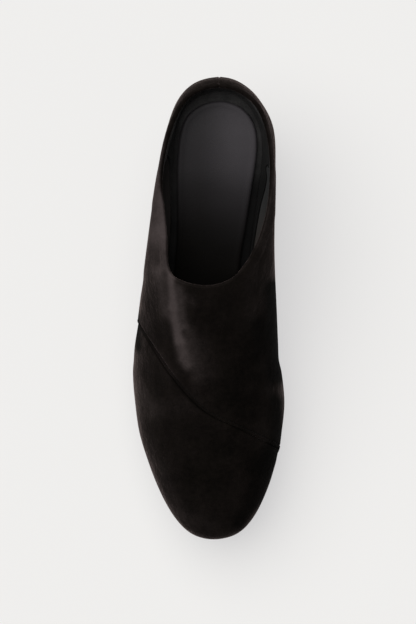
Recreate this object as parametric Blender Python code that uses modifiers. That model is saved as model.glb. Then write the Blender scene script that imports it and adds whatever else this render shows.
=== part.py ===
"""Velvet clog, right shoe: hollow lasted upper on a covered platform with a covered block heel.

Lengths in the tables and sizes are millimetres. The shoe stands on z = 0 with its toe towards -Y and
its medial (inner) side towards +X. A station is the distance forward from the back of the last, and a
turn is the angle round the shoe: 0 at the heel, pi at the toe, below pi on the lateral side.
"""
import math

import bpy
from mathutils import Vector

MM = 0.001

# Driving sizes
LAST_LENGTH = 263.7
REAR_WALL = 3.0            # velvet, lining and counter of the vamp and quarters
TOE_WALL = 2.0             # velvet and lining of the toe panel, under the rear panel
HEEL_Y = 131.35            # where the back of the last stands along Y
GAP = 0.3                  # clearance between neighbouring pieces

FEATHER_LIP = 1.5          # upright edge of the upper where it meets the platform
VAMP_START = 1.15          # turn from the heel where the rear walls begin to become the vamp
VAMP_BLEND = 0.60          # turn over which they do
COLLAR_LEAD = 0.75         # how far the collar's turn runs ahead of the outline's
COLLAR_PULL = 1.7          # power by which the upper draws in from its widest line to the collar
SEAM_WIDTH = 0.6           # width of the step from the toe panel up to the rear panel
SEAM_CORNER = 0.06         # how far over its column the seam turns down to the sole at either end
SEAM_LEAN = 0.10           # how far the seam's ends turn back towards the heel on their way down
REAR_SPLIT = 0.30          # where the rear walls change from lower to upper rows

INSOLE_INSET = 0.4         # insole edge inside the feather line
INSOLE_THICKNESS = 2.5
SOCK_THICKNESS = 2.0
PLATFORM_OVERHANG = 3.4    # platform edge outside the feather line
OUTSOLE_INSET = 1.0        # outsole edge inside the platform's
OUTSOLE_THICKNESS = 3.0
OUTSOLE_START = 71.0       # station of its rear end, just in front of the heel
HEEL_INSET = 0.8           # heel's top edge inside the platform's
HEEL_BREAST = 70.0         # station of the heel's front face, at the platform
HEEL_BREAST_BASE = 68.0    # and at the floor
HEEL_BACK_SLANT = 8.0      # how far the heel's back leans forward on its way down
HEEL_SIDE_TAPER = 3.0      # how far its sides draw in
HEEL_CURVE = 0.8           # power of both: below 1 they bend most near the platform
TOP_PIECE_HEIGHT = 6.0

PLATFORM_ROUNDING = 1.6    # widths of the rounded edges
SOCK_ROUNDING = 0.7
OUTSOLE_ROUNDING = 0.8
HEEL_ROUNDING = 1.2
TOP_PIECE_ROUNDING = 0.6

# How finely the surfaces are divided
COLUMNS_FRONT = 32
COLUMNS_REAR = 48
CROWDING = 0.1             # draws the front columns towards the seam's ends
WALL_ROWS = (0.0, 0.3, 0.6)
LOWER_ROWS = 6
UPPER_ROWS = 8
SOLE_COLUMNS = 80
OUTSOLE_COLUMNS = 64
HEEL_COLUMNS = 26
HEEL_LEVELS = (1.0, 0.66, 0.33, 0.0)
SMALL_STEP = 0.01          # for slopes
HALVINGS = 24              # for finding where a test changes

# Plan outlines of the last: (station, lateral x, medial x), with the x of the two end points apart
WIDEST = {
    "ends": (0.0, 8.0, LAST_LENGTH, 2.8),
    "rows": [
        (2.8, -4.3, 18.6),
        (11.0, -12.9, 28.0),
        (27.0, -19.2, 36.2),
        (52.0, -24.8, 37.3),
        (96.0, -32.0, 36.6),
        (134.0, -38.2, 37.8),
        (151.0, -41.4, 38.4),
        (160.0, -42.3, 38.8),
        (168.0, -42.9, 40.5),
        (185.0, -41.7, 42.0),
        (202.0, -39.3, 40.4),
        (219.0, -34.2, 37.9),
        (236.0, -27.5, 32.5),
        (252.5, -17.9, 24.1),
        (261.0, -8.5, 15.0),
    ],
}
FEATHER = {
    "ends": (4.0, 7.2, 260.5, 3.0),
    "rows": [
        (7.0, -4.6, 19.0),
        (14.0, -12.8, 26.8),
        (27.0, -17.6, 32.2),
        (42.0, -19.8, 33.2),
        (60.0, -20.8, 31.0),
        (82.0, -21.6, 27.6),
        (105.0, -24.4, 25.0),
        (125.0, -28.8, 26.0),
        (145.0, -34.0, 29.8),
        (165.0, -38.0, 35.2),
        (185.0, -38.6, 38.4),
        (205.0, -36.2, 37.2),
        (225.0, -29.6, 33.4),
        (242.0, -21.6, 27.2),
        (254.0, -12.6, 19.0),
    ],
}
SOCK = {
    "ends": (10.4, 7.6, 250.0, 3.0),
    "rows": [
        (12.6, -2.6, 17.4),
        (19.5, -11.2, 25.4),
        (29.0, -14.8, 29.0),
        (42.0, -16.4, 29.0),
        (60.0, -17.0, 26.2),
        (82.0, -17.4, 22.6),
        (105.0, -19.4, 19.0),
        (130.0, -23.6, 19.6),
        (160.0, -31.0, 26.6),
        (190.0, -33.0, 32.0),
        (218.0, -25.6, 28.2),
        (240.0, -14.0, 17.6),
    ],
}
COLLAR = {
    "ends": (5.1, 8.0, 115.5, 0.5),
    "rows": [
        (9.0, -6.0, 21.0),
        (17.0, -13.2, 29.5),
        (32.0, -19.6, 34.6),
        (52.0, -23.9, 36.2),
        (72.0, -22.8, 34.2),
        (87.0, -21.2, 30.3),
        (97.0, -21.0, 25.9),
        (105.0, -20.3, 20.9),
        (111.0, -16.6, 15.6),
    ],
}

# Heights along the last: (station, height)
FOOTBED = [
    (-6.0, 77.5), (9.0, 77.0), (29.0, 75.5), (49.0, 71.5), (69.0, 64.5), (89.0, 54.5), (109.0, 43.5),
    (129.0, 33.0), (149.0, 25.0), (169.0, 21.0), (189.0, 20.0), (224.0, 20.0), (244.0, 21.5),
    (270.0, 25.0),
]
UNDERSIDE = [
    (-6.0, 62.5), (20.0, 61.5), (40.0, 57.5), (60.0, 51.0), (80.0, 42.5), (100.0, 31.5), (120.0, 19.8),
    (135.0, 11.5), (150.0, 5.8), (165.0, 3.3), (228.0, 3.3), (240.0, 3.9), (254.0, 6.0), (270.0, 9.5),
]
RISE = [                   # of the widest line above the footbed
    (0.0, 12.0), (40.0, 14.0), (60.0, 17.0), (80.0, 20.0), (100.0, 22.0), (120.0, 19.5), (140.0, 15.0),
    (160.0, 12.0), (180.0, 10.0), (LAST_LENGTH, 9.0),
]
CROWN = [                  # of the ridge of the vamp above the widest line
    (0.0, 6.0), (60.0, 8.0), (85.0, 12.0), (100.0, 20.0), (115.5, 29.0), (140.0, 34.0), (160.0, 35.0),
    (180.0, 32.0), (200.0, 27.3), (220.0, 22.8), (240.0, 17.2), (255.0, 10.0), (LAST_LENGTH, 0.0),
]
COLLAR_HEIGHT = [
    (5.1, 98.5), (20.0, 97.3), (40.0, 93.5), (60.0, 88.5), (80.0, 85.0), (95.0, 85.0), (115.5, 87.0),
]
SEAM = [                   # (x, station) of the rear panel's edge across the vamp
    (-48.0, 123.0), (-40.3, 135.1), (-29.6, 152.4), (-19.4, 168.3), (-8.1, 182.5), (0.8, 190.2),
    (11.0, 195.2), (21.2, 200.6), (42.0, 212.7), (48.0, 216.2),
]
RIDGE_OFFSET = 2.5         # the ridge of the vamp stands this far to the medial side
SECTION_SHOULDER = 2.4     # the two powers of the vamp's section
SECTION_SIDE = 1.7

COLOURS = {                # base colour, roughness
    "velvet": ((0.012, 0.010, 0.010), 0.95),
    "suede": ((0.016, 0.015, 0.015), 0.90),
    "leather": ((0.030, 0.028, 0.028), 0.50),
    "rubber": ((0.010, 0.010, 0.010), 0.60),
}


def level_curve(table):
    """A smooth function through the table that keeps flat stretches flat."""
    keys = [row[0] for row in table]
    values = [row[1] for row in table]
    steps = [b - a for a, b in zip(keys, keys[1:])]
    slopes = [(b - a) / step for a, b, step in zip(values, values[1:], steps)]
    tangents = [slopes[0]]
    for before, after in zip(slopes, slopes[1:]):
        same_way = before * after > 0.0
        tangents.append(2.0 * before * after / (before + after) if same_way else 0.0)
    tangents.append(slopes[-1])

    def at(key):
        key = min(max(key, keys[0]), keys[-1])
        i = max(k for k in range(len(steps)) if keys[k] <= key)
        return hermite(key, keys[i:i + 2], values[i:i + 2], tangents[i:i + 2])

    return at


def hermite(key, keys, values, tangents):
    step = keys[1] - keys[0]
    t = (key - keys[0]) / step
    rise = values[1] - values[0]
    bend_in = tangents[0] * step - rise
    bend_out = rise - tangents[1] * step
    return values[0] + t * rise + t * (1.0 - t) * ((1.0 - t) * bend_in + t * bend_out)


def station_turn(station, first, last):
    return math.acos(min(max(1.0 - 2.0 * (station - first) / (last - first), -1.0), 1.0))


def plan_loop(table):
    """A closed outline as a function of the turn, giving (x, station)."""
    first, first_x, last, last_x = table["ends"]
    keys = [0.0] + [station_turn(row[0], first, last) for row in table["rows"]] + [math.pi]
    lateral = [first_x] + [row[1] for row in table["rows"]] + [last_x]
    medial = [first_x] + [row[2] for row in table["rows"]] + [last_x]
    turns = keys + [2.0 * math.pi - key for key in reversed(keys[1:-1])]
    sides = lateral + list(reversed(medial[1:-1]))
    count = len(turns)
    turns = [turn - 2.0 * math.pi for turn in turns] + turns + [turn + 2.0 * math.pi for turn in turns]
    sides = sides * 3

    def at(turn):
        turn = turn % (2.0 * math.pi)
        i = max(k for k in range(count, 2 * count) if turns[k] <= turn)
        tangents = [(sides[k + 1] - sides[k - 1]) / (turns[k + 1] - turns[k - 1]) for k in (i, i + 1)]
        x = hermite(turn, turns[i:i + 2], sides[i:i + 2], tangents)
        return Vector((x, first + (last - first) * 0.5 * (1.0 - math.cos(turn))))

    return at


def offset_loop(loop, distance):
    """The same outline moved outwards by a distance, square to itself."""
    def at(turn):
        along = loop(turn + SMALL_STEP) - loop(turn - SMALL_STEP)
        outwards = Vector((-along.y, along.x)).normalized()
        return loop(turn) + outwards * distance

    return at


widest = plan_loop(WIDEST)
feather = plan_loop(FEATHER)
sock_edge = plan_loop(SOCK)
collar = plan_loop(COLLAR)
footbed = level_curve(FOOTBED)
underside = level_curve(UNDERSIDE)
rise = level_curve(RISE)
collar_height = level_curve(COLLAR_HEIGHT)
seam_station = level_curve(SEAM)
upper_foot = offset_loop(feather, REAR_WALL)
crown_by_turn = level_curve([(station_turn(s, 0.0, LAST_LENGTH), h) for s, h in CROWN])


def mix(a, b, t):
    return a + (b - a) * t


def smooth(t):
    t = min(max(t, 0.0), 1.0)
    return t * t * (3.0 - 2.0 * t)


def widest_height(station):
    return footbed(station) + rise(station)


def vamp_height(x, station):
    """Height of the last's top over a plan point: ridge, shoulders and sides of the section."""
    turn = station_turn(station, 0.0, LAST_LENGTH)
    lateral = widest(turn).x
    medial = widest(2.0 * math.pi - turn).x
    ridge = 0.5 * (lateral + medial) + RIDGE_OFFSET * math.sin(turn)
    side = medial if x > ridge else lateral
    across = min(abs((x - ridge) / (side - ridge)), 1.0) if abs(side - ridge) > SMALL_STEP else 1.0
    section = (1.0 - across ** SECTION_SHOULDER) ** (1.0 / SECTION_SIDE)
    return widest_height(station) + crown_by_turn(turn) * section


def vamp_share(turn):
    """1 where a column runs over the vamp, 0 where it is a rear wall."""
    from_heel = min(turn % (2.0 * math.pi), -turn % (2.0 * math.pi))
    return smooth((from_heel - VAMP_START) / VAMP_BLEND)


def wall_point(turn, up):
    """The last between the feather edge (up = 0) and its widest line (up = 1), on a leaning column."""
    turn -= SEAM_LEAN * vamp_share(turn) * (1.0 - up)
    foot = feather(turn)
    belly = widest(turn)
    flare = math.sin(0.5 * math.pi * up)
    plan = foot.lerp(belly, flare)
    low = max(footbed(foot.y), footbed(upper_foot(turn).y)) + GAP + FEATHER_LIP
    return Vector((plan.x, plan.y, mix(low, widest_height(belly.y), up)))


def top_point(turn, over):
    """The last between its widest line (over = 0) and the collar (over = 1)."""
    belly = widest(turn)
    edge = collar(turn + COLLAR_LEAD * math.sin(turn))
    plan = belly.lerp(edge, over ** COLLAR_PULL)
    share = vamp_share(turn)
    wall = mix(widest_height(belly.y), collar_height(edge.y), over)
    return Vector((plan.x, plan.y, mix(wall, vamp_height(plan.x, plan.y), share)))


def is_before_seam(turn, over):
    point = top_point(turn, over)
    return point.y > seam_station(point.x)


def crossing(is_low, low, high):
    """Where a test changes from true at low to false at high."""
    for _ in range(HALVINGS):
        middle = 0.5 * (low + high)
        if is_low(middle):
            low = middle
        else:
            high = middle
    return low


def has_seam(turn):
    return is_before_seam(turn, SEAM_CORNER)


SEAM_LATERAL_TURN = crossing(lambda turn: not has_seam(turn), VAMP_START, math.pi)
SEAM_MEDIAL_TURN = crossing(has_seam, math.pi, 2.0 * math.pi - VAMP_START)


def split_over(turn):
    """Where a column changes from its lower to its upper rows: the seam, or part way up a rear wall."""
    turn = turn % (2.0 * math.pi)
    if SEAM_LATERAL_TURN < turn < SEAM_MEDIAL_TURN:
        return max(crossing(lambda over: is_before_seam(turn, over), 0.0, 1.0), SEAM_CORNER)
    behind_lateral = (SEAM_LATERAL_TURN - turn) % (2.0 * math.pi)
    behind_medial = (turn - SEAM_MEDIAL_TURN) % (2.0 * math.pi)
    return mix(SEAM_CORNER, REAR_SPLIT, smooth(min(behind_lateral, behind_medial)))


def column_points(turn):
    """One column of the upper, from the feather edge to the collar, as (point, is_lower) pairs."""
    lip = wall_point(turn, 0.0)
    lip.z -= FEATHER_LIP
    split = split_over(turn)
    width = (top_point(turn, split + SMALL_STEP) - top_point(turn, split)).length
    past_seam = split + SMALL_STEP * SEAM_WIDTH / width
    lower = [lip] + [wall_point(turn, up) for up in WALL_ROWS]
    lower += [top_point(turn, split * k / LOWER_ROWS) for k in range(LOWER_ROWS + 1)]
    upper = [top_point(turn, mix(past_seam, 1.0, k / UPPER_ROWS)) for k in range(UPPER_ROWS + 1)]
    return [(point, True) for point in lower] + [(point, False) for point in upper]


def column_turns():
    """Turns of the columns, with a narrow pair at each upright end of the seam."""
    half_step = 0.5 * SEAM_WIDTH / (0.5 * LAST_LENGTH)
    front = (SEAM_LATERAL_TURN + half_step, SEAM_MEDIAL_TURN - half_step)
    rear = (SEAM_MEDIAL_TURN + half_step, SEAM_LATERAL_TURN - half_step + 2.0 * math.pi)
    turns = []
    for k in range(COLUMNS_FRONT + 1):
        share = k / COLUMNS_FRONT
        closer_at_ends = share - CROWDING * math.sin(2.0 * math.pi * share)
        turns.append((mix(*front, closer_at_ends), True))
    return turns + [(mix(*rear, k / COLUMNS_REAR), False) for k in range(COLUMNS_REAR + 1)]


def placed(point):
    return (point.x * MM, (HEEL_Y - point.y) * MM, point.z * MM)


def material(name):
    colour, roughness = COLOURS[name]
    found = bpy.data.materials.get(name) or bpy.data.materials.new(name)
    found.use_nodes = True
    shader = found.node_tree.nodes["Principled BSDF"]
    shader.inputs["Base Color"].default_value = (*colour, 1.0)
    shader.inputs["Roughness"].default_value = roughness
    shader.inputs["Metallic"].default_value = 0.0
    return found


def add_object(name, points, faces, finish, collection):
    mesh = bpy.data.meshes.new(name)
    mesh.from_pydata([placed(point) for point in points], [], faces)
    mesh.materials.append(material(finish))
    mesh.validate()
    mesh.update()
    thing = bpy.data.objects.new(name, mesh)
    collection.objects.link(thing)
    mesh.shade_smooth()
    return thing


def round_edges(thing, width, segments=1):
    bevel = thing.modifiers.new("rounded edges", "BEVEL")
    bevel.width = width * MM
    bevel.segments = segments
    bevel.limit_method = "ANGLE"
    bevel.angle_limit = math.radians(50.0)


def make_upper(collection):
    """The lasted surface as an open mesh, thickened outwards: thinner at the toe panel."""
    turns = column_turns()
    columns = [column_points(turn) for turn, _ in turns]
    rows = len(columns[0])
    points = [point for column in columns for point, _ in column]
    faces = []
    for c in range(len(columns)):
        after = (c + 1) % len(columns)
        for r in range(rows - 1):
            faces.append((c * rows + r, after * rows + r, after * rows + r + 1, c * rows + r + 1))
    upper = add_object("upper", points, faces, "velvet", collection)

    rear_panel = upper.vertex_groups.new(name="rear panel")
    for c, (_, is_front) in enumerate(turns):
        for r, (_, is_lower) in enumerate(columns[c]):
            rear_panel.add([c * rows + r], 0.0 if is_front and is_lower else 1.0, "REPLACE")
    wall = upper.modifiers.new("wall", "SOLIDIFY")
    wall.thickness = REAR_WALL * MM
    wall.offset = 1.0
    wall.vertex_group = "rear panel"
    wall.thickness_vertex_group = TOE_WALL / REAR_WALL
    wall.use_even_offset = True
    short_diagonals = upper.modifiers.new("short diagonals", "TRIANGULATE")
    short_diagonals.quad_method = "SHORTEST_DIAGONAL"


def loft(name, loops, finish, collection):
    """A solid through stacked loops, capped by strips from side to side.

    Each loop runs from one end round its far side and back, so points k and -1 - k face each other.
    """
    count = len(loops[0])
    points = [point for loop in loops for point in loop]
    faces = []
    for level in range(len(loops) - 1):
        low = level * count
        high = low + count
        for k in range(count):
            after = (k + 1) % count
            faces.append((low + k, low + after, high + after, high + k))
    top = (len(loops) - 1) * count
    for k in range(count // 2 - 1):
        rung = (k, k + 1, count - 2 - k, count - 1 - k)
        faces.append(tuple(reversed(rung)))
        faces.append(tuple(top + corner for corner in rung))
    return add_object(name, points, faces, finish, collection)


def whole_turns(count):
    return [2.0 * math.pi * (k + 0.5) / count for k in range(count)]


def arc_turns(start, end, count):
    return [mix(start, end, k / (count - 1)) for k in range(count)]


def lifted(loop, turns, height, lift):
    """A plan loop laid on a height curve, raised by lift."""
    flat = [loop(turn) for turn in turns]
    return [Vector((point.x, point.y, height(point.y) + lift)) for point in flat]


def make_bed_pieces(collection):
    turns = whole_turns(SOLE_COLUMNS)
    platform_edge = offset_loop(feather, PLATFORM_OVERHANG)
    platform_loops = [lifted(platform_edge, turns, height, 0.0) for height in (underside, footbed)]
    platform = loft("platform", platform_loops, "velvet", collection)
    round_edges(platform, PLATFORM_ROUNDING, segments=2)

    insole_edge = offset_loop(feather, -INSOLE_INSET)
    insole_lifts = (GAP, GAP + INSOLE_THICKNESS)
    insole_loops = [lifted(insole_edge, turns, footbed, lift) for lift in insole_lifts]
    loft("insole", insole_loops, "suede", collection)

    sock_base = insole_lifts[1] + GAP
    sock_loops = [lifted(sock_edge, turns, footbed, lift) for lift in (sock_base, sock_base + SOCK_THICKNESS)]
    sock = loft("sock_liner", sock_loops, "leather", collection)
    round_edges(sock, SOCK_ROUNDING)


def make_outsole(collection):
    edge = offset_loop(feather, PLATFORM_OVERHANG - OUTSOLE_INSET)
    start = station_turn(OUTSOLE_START, *FEATHER["ends"][0::2])
    turns = arc_turns(start, 2.0 * math.pi - start, OUTSOLE_COLUMNS)
    lifts = (-GAP - OUTSOLE_THICKNESS, -GAP)
    outsole = loft("outsole", [lifted(edge, turns, underside, lift) for lift in lifts], "rubber", collection)
    round_edges(outsole, OUTSOLE_ROUNDING)


def heel_loop(down):
    """Plan outline of the heel block, from 0 at the platform down to 1 at the floor."""
    edge = offset_loop(feather, PLATFORM_OVERHANG - HEEL_INSET - HEEL_SIDE_TAPER * down ** HEEL_CURVE)
    end = station_turn(HEEL_BREAST, *FEATHER["ends"][0::2])
    back = edge(0.0).y
    front = edge(end).y
    new_back = back + HEEL_BACK_SLANT * down ** HEEL_CURVE
    new_front = mix(HEEL_BREAST, HEEL_BREAST_BASE, down)
    loop = []
    for turn in arc_turns(-end, end, HEEL_COLUMNS):
        point = edge(turn)
        point.y = mix(new_back, new_front, (point.y - back) / (front - back))
        loop.append(point)
    loop[0].y = new_front
    loop[-1].y = new_front
    return loop


def make_heel(collection):
    base = TOP_PIECE_HEIGHT + GAP
    loops = []
    for down in HEEL_LEVELS:
        plan = heel_loop(down)
        heights = [mix(underside(point.y) - GAP, base, down) for point in plan]
        loops.append([Vector((point.x, point.y, z)) for point, z in zip(plan, heights)])
    heel = loft("heel", loops, "velvet", collection)
    round_edges(heel, HEEL_ROUNDING)

    foot = heel_loop(1.0)
    top_piece_loops = [[Vector((point.x, point.y, z)) for point in foot] for z in (0.0, TOP_PIECE_HEIGHT)]
    top_piece = loft("heel_top_piece", top_piece_loops, "rubber", collection)
    round_edges(top_piece, TOP_PIECE_ROUNDING)


def make_clog():
    for old in list(bpy.data.objects):
        bpy.data.objects.remove(old, do_unlink=True)
    collection = bpy.data.collections.new("velvet_clog")
    bpy.context.scene.collection.children.link(collection)
    make_upper(collection)
    make_bed_pieces(collection)
    make_outsole(collection)
    make_heel(collection)


make_clog()
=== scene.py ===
import math

import bpy
import numpy as np
from mathutils import Matrix, Vector


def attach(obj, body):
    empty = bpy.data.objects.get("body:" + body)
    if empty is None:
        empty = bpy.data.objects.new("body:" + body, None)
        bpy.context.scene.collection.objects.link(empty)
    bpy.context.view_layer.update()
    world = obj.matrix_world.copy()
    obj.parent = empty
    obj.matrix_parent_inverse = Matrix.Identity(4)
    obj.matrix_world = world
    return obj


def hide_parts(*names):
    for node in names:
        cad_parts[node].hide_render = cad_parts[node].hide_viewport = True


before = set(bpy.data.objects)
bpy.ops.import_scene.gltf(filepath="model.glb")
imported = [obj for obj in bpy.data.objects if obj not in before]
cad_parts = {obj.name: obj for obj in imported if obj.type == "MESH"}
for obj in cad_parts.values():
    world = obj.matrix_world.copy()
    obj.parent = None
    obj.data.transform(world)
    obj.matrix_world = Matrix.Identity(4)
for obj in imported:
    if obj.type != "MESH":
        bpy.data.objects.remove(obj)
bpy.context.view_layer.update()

# A velvet clog, right shoe. Sizes are millimetres until a mesh is made. The toe points towards -Y and
# the inner side is +X. A station is the distance forward from the back of the last. A turn is the angle
# round the shoe: 0 at the heel, pi at the toe, below pi on the outer side. A level is the height on the
# last: -1 to 0 the upright lip, 0 to 1 the wall up to the widest line, 1 to 2 from there to the collar.

mm = 0.001
fullTurn = 2.0 * math.pi
smallStep = 0.004

bpy.context.scene.view_settings.view_transform = "Standard"


def mix(a, b, t):
    return a + (b - a) * t


def smooth(t):
    t = np.clip(t, 0.0, 1.0)
    return t * t * (3.0 - 2.0 * t)


def bump(distance, width):      # a soft ridge of height 1
    return np.exp(-(distance / width) ** 2)


def ridge(distance, form):      # form: height (below 0 for a groove), distance of its middle, width
    height, middle, width = form
    return height * bump(distance - middle, width)


def quarterRound(distance, width):      # 1 at an edge, 0 at this width from it and beyond
    return 1.0 - np.sqrt(1.0 - np.clip(1.0 - distance / width, 0.0, 1.0) ** 2)


def unit(vectors):
    return vectors / np.maximum(np.linalg.norm(vectors, axis=-1, keepdims=True), 1e-12)


def hermite(key, keys, values, slopes, start):
    step = keys[start + 1] - keys[start]
    t = (key - keys[start]) / step
    rise = values[start + 1] - values[start]
    bendIn = slopes[start] * step - rise
    bendOut = rise - slopes[start + 1] * step
    return values[start] + t * rise + t * (1.0 - t) * ((1.0 - t) * bendIn + t * bendOut)


def levelCurve(table):          # smooth through the table, and flat where the table is flat
    keys = np.array([row[0] for row in table])
    values = np.array([row[1] for row in table])
    chords = np.diff(values) / np.diff(keys)
    before, after = chords[:-1], chords[1:]
    together = np.where(before * after > 0.0, before + after, 1.0)
    inner = np.where(before * after > 0.0, 2.0 * before * after / together, 0.0)
    slopes = np.concatenate([chords[:1], inner, chords[-1:]])

    def at(key):
        key = np.clip(key, keys[0], keys[-1])
        start = np.clip(np.searchsorted(keys, key, side="right") - 1, 0, len(keys) - 2)
        return hermite(key, keys, values, slopes, start)

    return at


def stationTurn(station, first, final):
    return np.arccos(np.clip(1.0 - 2.0 * (station - first) / (final - first), -1.0, 1.0))


def planLoop(table):            # a closed outline by turn: x and station along the final axis
    first, firstX, final, finalX = table["ends"]
    rows = np.array(table["rows"])
    half = np.concatenate([[0.0], stationTurn(rows[:, 0], first, final), [math.pi]])
    outer = np.concatenate([[firstX], rows[:, 1], [finalX]])
    inner = np.concatenate([[firstX], rows[:, 2], [finalX]])
    once = np.concatenate([half, fullTurn - half[-2:0:-1]])
    sides = np.tile(np.concatenate([outer, inner[-2:0:-1]]), 3)
    turns = np.concatenate([once - fullTurn, once, once + fullTurn])
    slopes = np.zeros(len(turns))
    slopes[1:-1] = (sides[2:] - sides[:-2]) / (turns[2:] - turns[:-2])

    def at(turn):
        turn = np.mod(turn, fullTurn)
        start = np.searchsorted(turns, turn, side="right") - 1
        x = hermite(turn, turns, sides, slopes, start)
        return np.stack([x, first + (final - first) * 0.5 * (1.0 - np.cos(turn))], axis=-1)

    return at


def evenTurns(count):
    return fullTurn * (np.arange(count) + 0.5) / count


def offsetLoop(loop, distance):
    def at(turn):
        along = loop(turn + 0.01) - loop(turn - 0.01)
        outwards = unit(np.stack([-along[..., 1], along[..., 0]], axis=-1))
        return loop(turn) + outwards * distance

    return at


last = {
    "length": 263.7,
    "heelY": 131.35,
    "rearWall": 3.0,
    "toeWall": 2.0,
    "gap": 0.3,
    "lip": 1.5,
    "vampStart": 1.15,
    "vampBlend": 0.60,
    "collarLead": 0.75,
    "collarPull": 1.7,
    "seamCorner": 0.06,
    "seamLean": 0.10,
    "rearSplit": 0.30,
    "ridgeOffset": 2.5,
    "sectionShoulder": 2.4,
    "sectionSide": 1.7,
}
widest = planLoop({
    "ends": (0.0, 8.0, last["length"], 2.8),
    "rows": [
        (2.8, -4.3, 18.6), (11, -12.9, 28), (27, -19.2, 36.2), (52, -24.8, 37.3),
        (96, -32, 36.6), (134, -38.2, 37.8), (151, -41.4, 38.4), (160, -42.3, 38.8),
        (168, -42.9, 40.5), (185, -41.7, 42), (202, -39.3, 40.4), (219, -34.2, 37.9),
        (236, -27.5, 32.5), (252.5, -17.9, 24.1), (261, -8.5, 15),
    ],
})
featherEnds = (4.0, 260.5)      # stations where the last meets the sole at the heel and at the toe
feather = planLoop({
    "ends": (featherEnds[0], 7.2, featherEnds[1], 3.0),
    "rows": [
        (7, -4.6, 19), (14, -12.8, 26.8), (27, -17.6, 32.2), (42, -19.8, 33.2),
        (60, -20.8, 31), (82, -21.6, 27.6), (105, -24.4, 25), (125, -28.8, 26),
        (145, -34, 29.8), (165, -38, 35.2), (185, -38.6, 38.4), (205, -36.2, 37.2),
        (225, -29.6, 33.4), (242, -21.6, 27.2), (254, -12.6, 19),
    ],
})
sockEdge = planLoop({
    "ends": (10.4, 7.6, 250.0, 3.0),
    "rows": [
        (12.6, -2.6, 17.4), (19.5, -11.2, 25.4), (29, -14.8, 29), (42, -16.4, 29),
        (60, -17, 26.2), (82, -17.4, 22.6), (105, -19.4, 19), (130, -23.6, 19.6),
        (160, -31, 26.6), (190, -33, 32), (218, -25.6, 28.2), (240, -14, 17.6),
    ],
})
collarEdge = planLoop({
    "ends": (5.1, 8.0, 115.5, 0.5),
    "rows": [
        (9, -6, 21), (17, -13.2, 29.5), (32, -19.6, 34.6), (52, -23.9, 36.2),
        (72, -22.8, 34.2), (87, -21.2, 30.3), (97, -21, 25.9), (105, -20.3, 20.9),
        (111, -16.6, 15.6),
    ],
})
footbed = levelCurve([
    (-6, 77.5), (9, 77), (29, 75.5), (49, 71.5), (69, 64.5), (89, 54.5), (109, 43.5),
    (129, 33), (149, 25), (169, 21), (189, 20), (224, 20), (244, 21.5),
    (270, 25),
])
underside = levelCurve([
    (-6, 62.5), (20, 61.5), (40, 57.5), (60, 51), (80, 42.5), (100, 31.5), (120, 19.8),
    (135, 11.5), (150, 5.8), (165, 3.3), (228, 3.3), (240, 3.9), (254, 6), (270, 9.5),
])
rise = levelCurve([             # of the widest line above the footbed
    (0, 12), (40, 14), (60, 17), (80, 20), (100, 22), (120, 19.5), (140, 15),
    (160, 12), (180, 10), (last["length"], 9),
])
crownRows = [                   # of the vamp's ridge above the widest line
    (0, 6), (60, 8), (85, 12), (100, 20), (115.5, 29), (140, 34), (160, 35),
    (180, 32), (200, 27.3), (220, 22.8), (240, 17.2), (255, 10), (last["length"], 0),
]
crownByTurn = levelCurve([(float(stationTurn(s, 0.0, last["length"])), h) for s, h in crownRows])
collarHeight = levelCurve([
    (5.1, 98.5), (20, 97.3), (40, 93.5), (60, 88.5), (80, 85), (95, 85), (115.5, 87),
])
seamStation = levelCurve([      # x, station of the rear panel's edge across the vamp
    (-48, 123), (-40.3, 135.1), (-29.6, 152.4), (-19.4, 168.3), (-8.1, 182.5), (0.8, 190.2),
    (11, 195.2), (21.2, 200.6), (42, 212.7), (48, 216.2),
])
upperFoot = offsetLoop(feather, last["rearWall"])


def laid(plan, height):         # plan points (x, station) at a height
    x, station, height = np.broadcast_arrays(plan[..., 0], plan[..., 1], height)
    return np.stack([x, last["heelY"] - station, height], axis=-1)


def widestHeight(station):
    return footbed(station) + rise(station)


def vampHeight(x, station):
    turn = stationTurn(station, 0.0, last["length"])
    outer = widest(turn)[..., 0]
    inner = widest(fullTurn - turn)[..., 0]
    crest = 0.5 * (outer + inner) + last["ridgeOffset"] * np.sin(turn)
    half = np.where(x > crest, inner, outer) - crest
    wide = np.abs(half) > 0.01
    across = np.where(wide, np.minimum(np.abs((x - crest) / np.where(wide, half, 1.0)), 1.0), 1.0)
    section = (1.0 - across ** last["sectionShoulder"]) ** (1.0 / last["sectionSide"])
    return widestHeight(station) + crownByTurn(turn) * section


def vampShare(turn):
    fromHeel = np.minimum(np.mod(turn, fullTurn), np.mod(-turn, fullTurn))
    return smooth((fromHeel - last["vampStart"]) / last["vampBlend"])


def wallPoint(turn, up):
    turn = turn - last["seamLean"] * vampShare(turn) * (1.0 - up)
    foot = feather(turn)
    belly = widest(turn)
    plan = mix(foot, belly, np.sin(0.5 * np.pi * up)[..., None])
    low = np.maximum(footbed(foot[..., 1]), footbed(upperFoot(turn)[..., 1])) + last["gap"] + last["lip"]
    height = mix(low, widestHeight(belly[..., 1]), up)
    return laid(plan, height)


def topPoint(turn, over):
    belly = widest(turn)
    edge = collarEdge(turn + last["collarLead"] * np.sin(turn))
    plan = mix(belly, edge, (over ** last["collarPull"])[..., None])
    wall = mix(widestHeight(belly[..., 1]), collarHeight(edge[..., 1]), over)
    height = mix(wall, vampHeight(plan[..., 0], plan[..., 1]), vampShare(turn))
    return laid(plan, height)


def lastPoint(turn, level):
    turn, level = np.broadcast_arrays(np.asarray(turn, float), np.asarray(level, float))
    wall = wallPoint(turn, np.clip(level, 0.0, 1.0))
    top = topPoint(turn, np.clip(level - 1.0, 0.0, 1.0))
    point = np.where((level < 1.0)[..., None], wall, top)
    point[..., 2] -= last["lip"] * np.clip(-level, 0.0, 1.0)
    return point


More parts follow.
